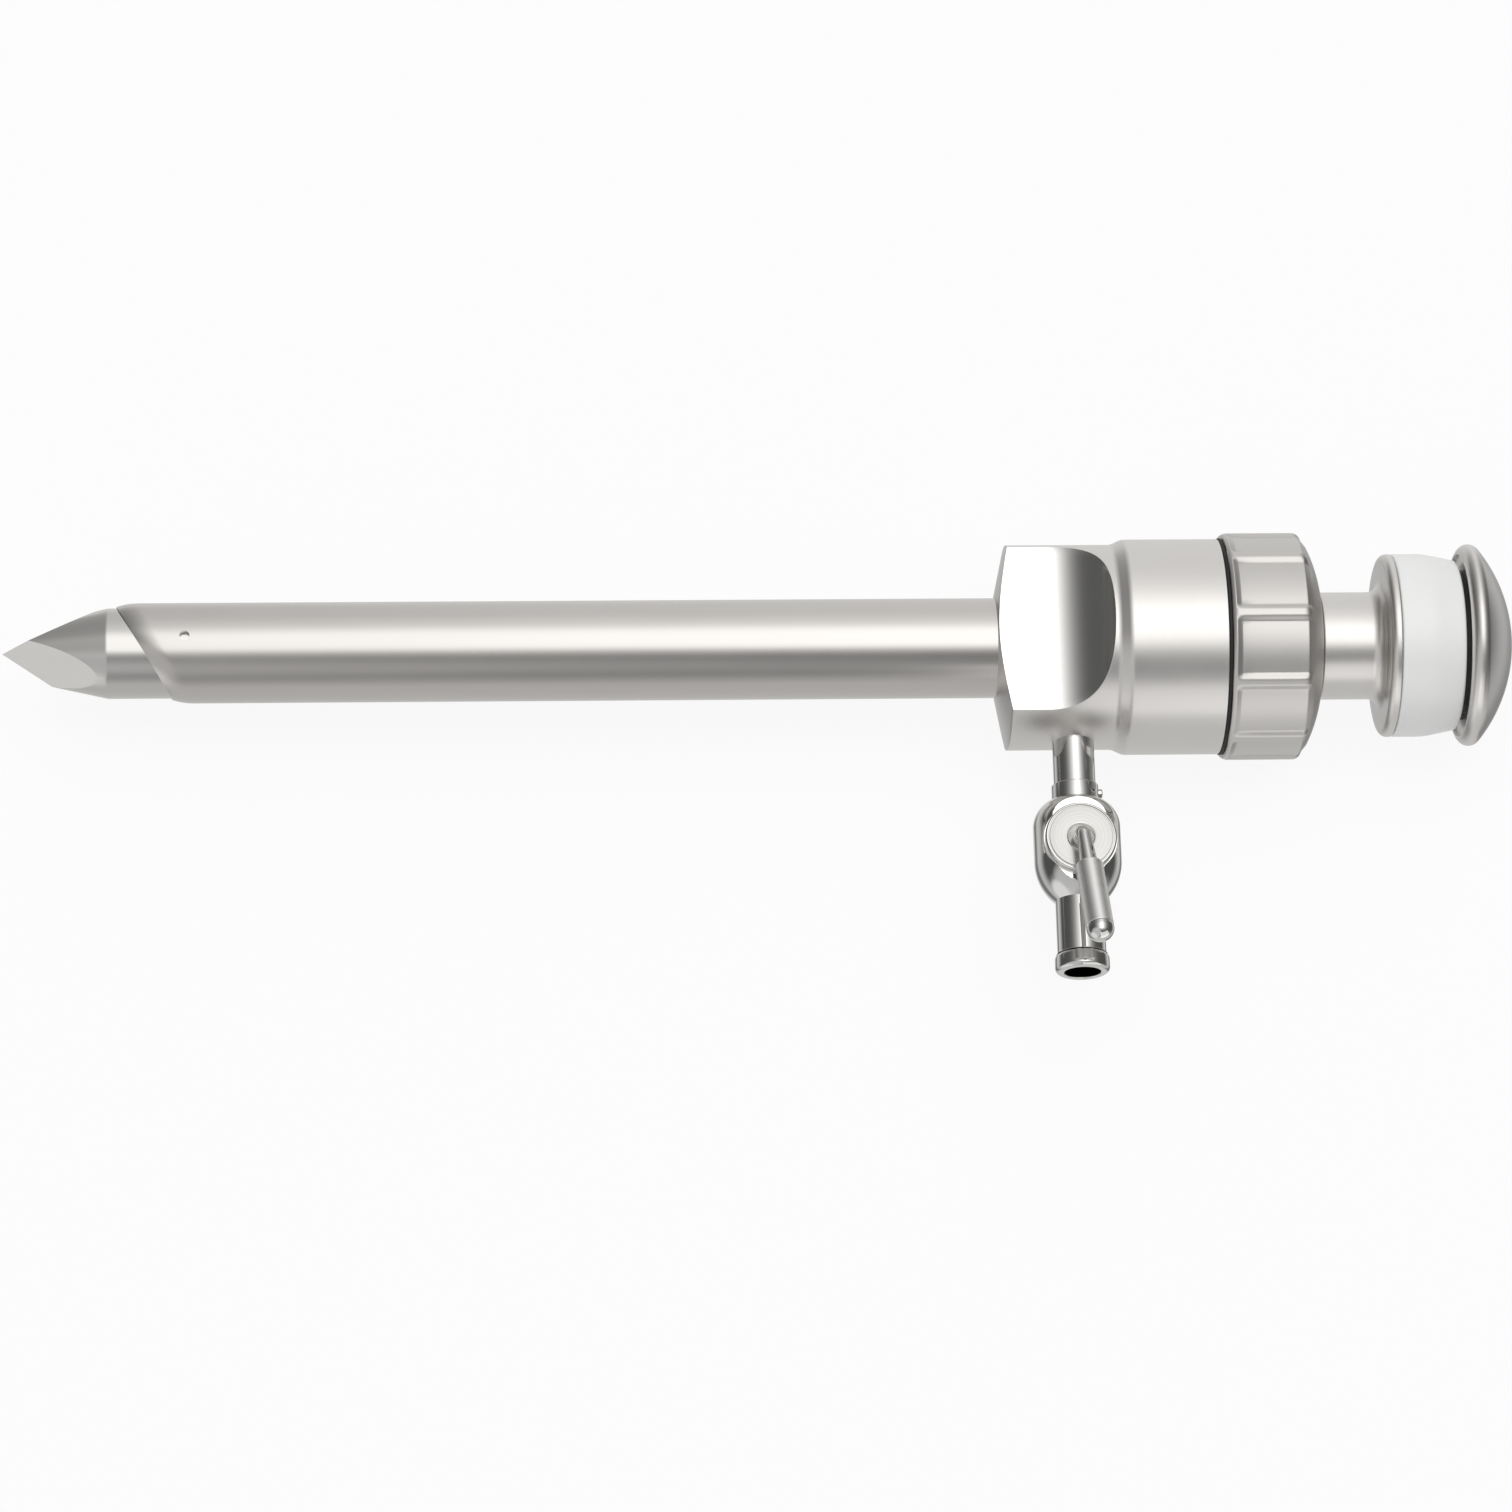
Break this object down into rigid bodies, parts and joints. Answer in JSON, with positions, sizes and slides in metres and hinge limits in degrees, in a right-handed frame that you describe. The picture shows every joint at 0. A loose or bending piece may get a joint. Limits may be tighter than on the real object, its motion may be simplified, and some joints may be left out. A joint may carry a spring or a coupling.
{
  "type": "laparoscopic trocar",
  "caption": "Reusable trocar: steel cannula with oblique mouth, valve housing with finger flats, gas tap and fluted screw cap, and a pyramid-pointed obturator with a domed handle.",
  "frame": {"origin": "on the instrument's axis, where the sheath leaves the housing", "axes": "+X along the instrument towards the handle, so the point faces -X; the gas tap points to -Y; one finger flat and the tap's lever face +Z"},
  "size_m": [0.181, 0.0549, 0.0275],
  "materials": {
    "satin_steel": "fine satin, bead-blasted and brushed; the finger flats are polished",
    "polished_steel": "bright polished",
    "black_rubber": "matt black",
    "grey_silicone": "smooth grey silicone",
    "magnet_nickel": "nickel-plated",
    "white_plastic": "smooth white, slightly glossy",
    "dark_spacer": "dark, in the shadow gap"
  },
  "bodies": {
    "cannula": {"cannula_sheath": "satin_steel", "valve_housing": "satin_steel", "tap_pipe": "polished_steel", "tap_collar_pin": "polished_steel", "tap_body": "polished_steel", "gas_outlet": "polished_steel", "housing_gasket": "black_rubber", "valve_seat": "satin_steel", "seat_magnet": "magnet_nickel", "seat_o_ring": "black_rubber", "flap_hinge_pin": "satin_steel"},
    "flap": {"valve_flap": "satin_steel", "flap_facing": "grey_silicone"},
    "seal_pack": {"instrument_seal": "grey_silicone", "seal_washer": "satin_steel"},
    "cap": {"screw_cap": "satin_steel"},
    "grip": {"grip_ring": "white_plastic"},
    "obturator": {"obturator_point": "satin_steel", "obturator_rod": "satin_steel", "handle_hub": "satin_steel", "dome_spacer": "dark_spacer", "dome_stud": "satin_steel", "dome_cap": "satin_steel"},
    "tap_key": {"tap_key": "polished_steel", "lever_rod": "polished_steel", "lever_grip": "satin_steel", "key_washer": "polished_steel", "key_spring_washer": "polished_steel", "key_nut": "polished_steel"}
  },
  "joints": [
    {"name": "flap_swing", "type": "hinge", "parent": "cannula", "child": "flap", "pos_m": [0.02961, 0.0079, 0], "axis": [0, 0, -1], "range_deg": [0, 4.5]},
    {"name": "cap_travel", "type": "slide", "parent": "cannula", "child": "seal_pack", "axis": [1, 0, 0], "range_m": [0, 0.006]},
    {"name": "cap_turn", "type": "hinge", "parent": "seal_pack", "child": "cap", "pos_m": [0.0335, 0, 0], "axis": [1, 0, 0], "range_deg": [0, 1440]},
    {"name": "obturator_slide", "type": "slide", "parent": "seal_pack", "child": "grip", "axis": [1, 0, 0], "range_m": [0, 0.16]},
    {"name": "obturator_spin", "type": "hinge", "parent": "grip", "child": "obturator", "pos_m": [0.05, 0, 0], "axis": [1, 0, 0], "continuous": true},
    {"name": "tap_turn", "type": "hinge", "parent": "cannula", "child": "tap_key", "pos_m": [0.009, -0.02573, 0], "axis": [0, 0, 1], "range_deg": [-4, 86]}
  ],
  "couplings": [
    {"joint": "cap_turn", "follows": "cap_travel", "rad_per_m": 4188.8}
  ]
}
